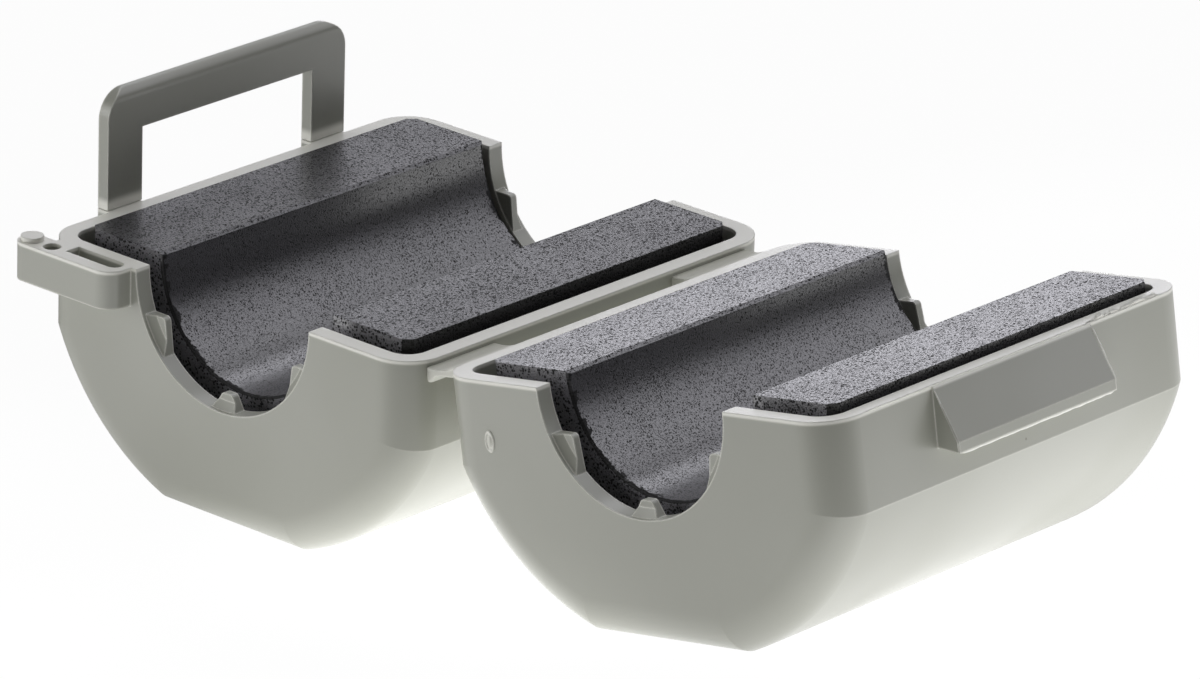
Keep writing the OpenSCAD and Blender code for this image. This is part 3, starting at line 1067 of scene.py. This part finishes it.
@dataclass(frozen=True)
class Viewpoint:
    """The camera: its direction and roll in degrees, and its target and distance in mm."""

    azimuth: float = 42.5927
    elevation: float = 17.7841
    roll: float = -2.2573
    target: tuple[float, float, float] = (4.59718, -5.3134, 14.11734)
    distance: float = 495.716
    focal_pixels: float = 8566.19
    frame_pixels: float = 1200.0
    sensor: float = 36.0
    clip: tuple[float, float] = (0.05, 20.0)

    def build(self) -> None:
        """Makes the camera, its axes turned by the roll, at its distance from the target."""
        azimuth, elevation = math.radians(self.azimuth), math.radians(self.elevation)
        roll = math.radians(self.roll)
        back = direction_to(azimuth, elevation)
        right = Vector((math.cos(azimuth), math.sin(azimuth), 0.0))
        up = back.cross(right)
        side = right * math.cos(roll) + up * math.sin(roll)
        top = up * math.cos(roll) - right * math.sin(roll)
        data = bpy.data.cameras.new("camera")
        data.sensor_width = self.sensor
        data.lens = self.sensor * self.focal_pixels / self.frame_pixels
        data.clip_start, data.clip_end = self.clip
        camera = bpy.data.objects.new("camera", data)
        place = Vector(self.target) * MM + back * self.distance * MM
        turned = Matrix((side, top, back)).transposed().to_4x4()
        camera.matrix_world = Matrix.Translation(place) @ turned
        bpy.context.scene.collection.objects.link(camera)
        bpy.context.scene.camera = camera
        LOG.info("camera: %.1f mm lens", data.lens)


# ---------------------------------------------------------------- moulded details


@dataclass
class HingeWeb:
    """One living-hinge web, in mm: a thin strip that sags between the walls, with a bead.

    Its roots reach into both walls.
    """

    name: str
    node: str
    start: float
    length: float
    placing: HingePlacing
    gap: float = 2.0
    thickness: float = 0.6
    waist: float = 0.42
    sag: float = 0.16
    drop: float = 0.4
    bead_depth: float = 0.95
    bead_width: float = 0.7
    rounding: float = 0.22
    root: float = 0.05
    stiff_base: float = 0.25
    stiff_lid: float = 0.2
    across_points: int = 25
    end_points: int = 6
    straight_points: int = 7

    def section(self) -> np.ndarray:
        """Works out the closed outline across the hinge, in world XZ and mm.

        The upper edge runs from the first wall to the second's rim and sags by a half sine.
        The lower edge follows it at the thickness, which narrows to the waist in the middle,
        and bulges down into the bead near the first wall.

        Returns:
            Array of shape (points, 2).
        """
        p = self.placing
        inner = np.array(-p.pivot_out + self.gap / 2.0)
        left = np.array(p.from_half(inner, np.array(-self.drop), Body.BASE))
        right = np.array(p.from_half(inner, np.array(0.0), Body.LID))
        left[0] -= self.root
        right[0] += self.root
        t = np.linspace(0.0, 1.0, self.across_points)
        top = left + (right - left) * t[:, None]
        wave = np.sin(np.pi * t)
        top[:, 1] -= self.sag * wave
        depth = self.thickness - (self.thickness - self.waist) * wave ** 2
        along = t * (right[0] - left[0])
        bulge = np.clip(1.0 - (along / self.bead_width) ** 2, 0.0, None) ** 0.5
        depth = np.maximum(depth, self.bead_depth * bulge)
        low = top.copy()
        low[:, 1] -= depth
        return np.concatenate([top, low[::-1]])

    def stations(self) -> tuple[np.ndarray, np.ndarray]:
        """Spaces the outlines along the cable: close at both ends, where a quarter circle draws in.

        Returns:
            The distances along the web in mm, and the outline's height there as a share.
        """
        angle = np.linspace(0.0, np.pi / 2, self.end_points)
        lead = self.rounding * (1.0 - np.cos(angle))
        shrink = 1.0 - self.rounding * (1.0 - np.sin(angle)) / self.thickness
        last = self.length - self.rounding
        straight = np.linspace(self.rounding, last, self.straight_points + 2)[1:-1]
        y = np.concatenate([lead, straight, self.length - lead[::-1]])
        return y, np.concatenate([shrink, np.ones(self.straight_points), shrink[::-1]])

    def build(self) -> bpy.types.Object:
        """Carries the outline along the cable, and squeezes its height at both ends.

        Returns:
            The web, between the two halves.
        """
        outline = self.section()
        middle = outline.mean(axis=0)
        y, share = self.stations()
        squeeze = np.stack([np.ones_like(share), share], axis=-1)[:, None, :]
        ring = middle[None, None, :] + (outline - middle)[None] * squeeze
        ys = np.broadcast_to((y + self.start + self.placing.front_y)[:, None], ring.shape[:2])
        points = np.stack([ring[..., 0], ys, ring[..., 1]], axis=-1) * MM
        web = grid_mesh(self.name, points, True, True)
        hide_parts(self.node)
        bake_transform(web)
        return web


@dataclass
class FlashLine:
    """A thin fin of moulding flash along an edge, in mm, with a ragged height.

    It is worked out at every step along the path. Its height draws a random number there,
    takes the mean over the taps, and fades to the least share over the run at both ends. Its
    foot sinks into the wall.
    """

    name: str
    path: tuple[tuple[float, float, float], ...]
    out: tuple[float, float, float]
    height: float
    width: float
    seed: int
    ragged: float
    placing: HingePlacing
    body: Body = Body.LID
    step: float = 0.12
    fewest: int = 8
    taps: int = 5
    fade_run: float = 0.5
    least: float = 0.05
    foot: float = 0.03

    def lift(self, along: np.ndarray) -> tuple[np.ndarray, np.ndarray]:
        """Works out how high the fin stands: random steps, smoothed, faded at both ends.

        Args:
            along: The distances along the path.

        Returns:
            The height at each of them in mm, and the fade as a share.
        """
        count, spare = len(along), self.taps - 1
        rng = np.random.default_rng(self.seed)
        steps = rng.random(count + 2 * spare)
        noise = np.convolve(steps, np.ones(self.taps) / self.taps, mode="same")[spare:-spare]
        noise = (noise - noise.min()) / np.ptp(noise)
        fade = np.clip(np.minimum(along, along[-1] - along) / self.fade_run, self.least, 1.0)
        return self.height * fade * (1.0 - self.ragged + self.ragged * noise), fade

    def build(self) -> bpy.types.Object:
        """Carries a small triangle along the path, with its tip raised and its foot sunk.

        Returns:
            The fin, riding on its half.
        """
        corners = np.array(self.path)
        legs = np.linalg.norm(np.diff(corners, axis=0), axis=1)
        run = np.concatenate([[0.0], np.cumsum(legs)])
        along = np.linspace(0.0, run[-1], max(self.fewest, int(run[-1] / self.step)))
        line = np.stack([np.interp(along, run, corners[:, k]) for k in range(3)], axis=-1)
        lift, fade = self.lift(along)
        out = np.array(self.out) / np.linalg.norm(self.out)
        heading = np.gradient(line, axis=0)
        heading /= np.linalg.norm(heading, axis=1, keepdims=True)
        across = np.cross(heading, out)
        across /= np.linalg.norm(across, axis=1, keepdims=True)
        half = across * (self.width * fade / 2.0)[:, None]
        foot = out * self.foot
        tip = line + out * lift[:, None]
        local = np.stack([line - half - foot, tip, line + half - foot], axis=1)
        points = self.placing.points(local, self.body)
        fin = grid_mesh(self.name, points, True, True)
        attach(fin, self.body.value)
        return fin


@dataclass
class GateMark:
    """The small oval where the plastic entered the mould, in mm: a ring round a shallow dome."""

    placing: HingePlacing
    centre: tuple[float, float] = (-11.2, -3.6)
    radii: tuple[float, float] = (0.36, 0.66)
    dome: float = 0.10
    shares: tuple[float, ...] = (0.02, 0.25, 0.45, 0.58, 0.70, 0.80, 0.90, 1.0, 1.06)
    heights: tuple[float, ...] = (1.0, 0.9, 0.62, 0.15, 0.1, 0.75, 0.9, 0.35, -0.4)
    steps: int = 48

    def build(self) -> bpy.types.Object:
        """Turns a profile round the oval: height over the wall by share of the oval's radius.

        Returns:
            The mark, riding on the lid.
        """
        share, height = np.array(self.shares), np.array(self.heights) * self.dome
        turn = np.linspace(0.0, 2.0 * np.pi, self.steps, endpoint=False)
        x = self.centre[0] + self.radii[0] * share[:, None] * np.cos(turn)
        z = self.centre[1] + self.radii[1] * share[:, None] * np.sin(turn)
        y = -np.broadcast_to(height[:, None], x.shape)
        points = self.placing.points(np.stack([x, y, z], axis=-1), Body.LID)[::-1]
        mark = grid_mesh("gate_mark", points, True, True)
        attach(mark, Body.LID.value)
        return mark


@dataclass(frozen=True)
class CatchFlash:
    """The flash of the half with the catch, laid out in mm in that half's own frame.

    It follows the side wall's rim and the edges of the wedge. On the rim, the rear line starts
    its lead before the wedge's far end and the side line ends its gap before it, so that the
    two overlap a little.
    """

    wall: float = 15.0
    rim_span: tuple[float, float] = (3.0, 29.3)
    rear_inset: float = 0.09
    rear_lead: float = 0.3
    side_gap: float = 0.2
    wedge_edge: float = 16.5
    wedge_top: float = -0.02
    wedge_low: float = -3.82
    wedge_lip: float = 0.65
    wedge_span: tuple[float, float] = (8.75, 22.75)

    def lines(self, placing: HingePlacing) -> list[FlashLine]:
        """Lays out every line: its name, path, direction, height, width, seed and raggedness.

        Args:
            placing: The place of the halves.

        Returns:
            The lines, not yet built.
        """
        wall, lip, low = self.wall, self.wedge_edge, self.wedge_low
        (start, end), (near, far) = self.rim_span, self.wedge_span
        rear_x = wall - self.rear_inset
        rear = ((rear_x, far - self.rear_lead, 0.0), (rear_x, end, 0.0))
        side = ((wall, start, 0.0), (wall, far - self.side_gap, 0.0))
        edge = ((lip, near, low), (lip, far, low))
        knee = (lip, near, low + self.wedge_lip)
        near_end = ((wall, near, self.wedge_top), knee, (lip, near, low))
        far_end = tuple((x, far, z) for x, _, z in near_end)
        rows = (
            ("flash_lid_rear_rim", rear, (0.0, 0.0, 1.0), 0.40, 0.16, 3, 0.75),
            ("flash_lid_side_rim", side, (0.8, 0.0, 1.0), 0.09, 0.12, 4, 0.4),
            ("flash_wedge_lip", edge, (0.3, 0.0, -1.0), 0.14, 0.10, 5, 0.4),
            ("flash_wedge_near", near_end, (0.5, -1.0, 0.0), 0.11, 0.10, 6, 0.6),
            ("flash_wedge_far", far_end, (0.0, 1.0, 0.0), 0.20, 0.12, 7, 0.4),
        )
        return [FlashLine(*row, placing) for row in rows]


# ---------------------------------------------------------------- bead


@dataclass
class Bead:
    """The whole bead: the frame's own pieces in their finishes, and the added details."""

    placing: HingePlacing = field(default_factory=HingePlacing)
    flash: CatchFlash = CatchFlash()
    finishes: dict[Finish, bpy.types.Material] = field(default_factory=dict)

    def make_finishes(self) -> None:
        """Builds the shared node groups once, and the materials from them.

        The flash is palest, partly a painted highlight. The webs and the gate mark lie between it
        and the walls: the webs are stress-whitened and carry a painted glow, and the gate mark a
        painted highlight.
        """
        shared, p = SharedGroups.build(), self.placing
        self.finishes = {
            Finish.THIN_WEB: THIN_WEB.make(shared, p),
            Finish.THIN_FLASH: THIN_FLASH.make(shared, p),
            Finish.NYLON: Nylon().make(shared, p),
            Finish.FERRITE: Ferrite().make(shared, p, self.core_span()),
        }

    def core_span(self) -> tuple[float, float]:
        """Reads from the frame where the cores start and end along the cable.

        Returns:
            Both places, in metres.
        """
        core = frame["nodes"]["base_core"].data
        corners = np.empty(len(core.vertices) * 3)
        core.vertices.foreach_get("co", corners)
        return float(corners[1::3].min()), float(corners[1::3].max())

    def dress_nodes(self) -> None:
        """Gives every carried node the material of its slot in the record."""
        for part in frame["record"]["subparts"]:
            thing = frame["nodes"][part["node"]]
            finish = self.finishes[Finish(part["material_slot"])]
            thing.data.materials.clear()
            thing.data.materials.append(finish)
            LOG.info("%s: %s", part["node"], finish.name)

    def details(self) -> list[tuple[bpy.types.Object, Finish]]:
        """Builds the webs, the flash and the gate mark.

        Returns:
            Each new piece and its finish, not yet dressed.
        """
        p = self.placing
        webs = (
            HingeWeb("front_web", "hinge_web_front", start=1.6, length=5.8, placing=p),
            HingeWeb("rear_web", "hinge_web_rear", start=22.9, length=6.7, placing=p),
        )
        pieces = [(web.build(), Finish.THIN_WEB) for web in webs]
        pieces += [(line.build(), Finish.THIN_FLASH) for line in self.flash.lines(p)]
        # The gate mark takes the pale web finish as a painted highlight.
        return pieces + [(GateMark(p).build(), Finish.THIN_WEB)]

    def build(self) -> None:
        """Dresses the frame, and adds and dresses the details, which all count as nylon."""
        self.make_finishes()
        self.dress_nodes()
        for piece, finish in self.details():
            piece.data.materials.append(self.finishes[finish])
            LOG.info("%s: %d faces", piece.name, len(piece.data.polygons))


def main() -> None:
    """Builds the studio, the camera and the bead."""
    logging.basicConfig(level=logging.INFO)
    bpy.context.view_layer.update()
    Studio().build()
    Viewpoint().build()
    Bead().build()


if __name__ == "__main__":
    main()
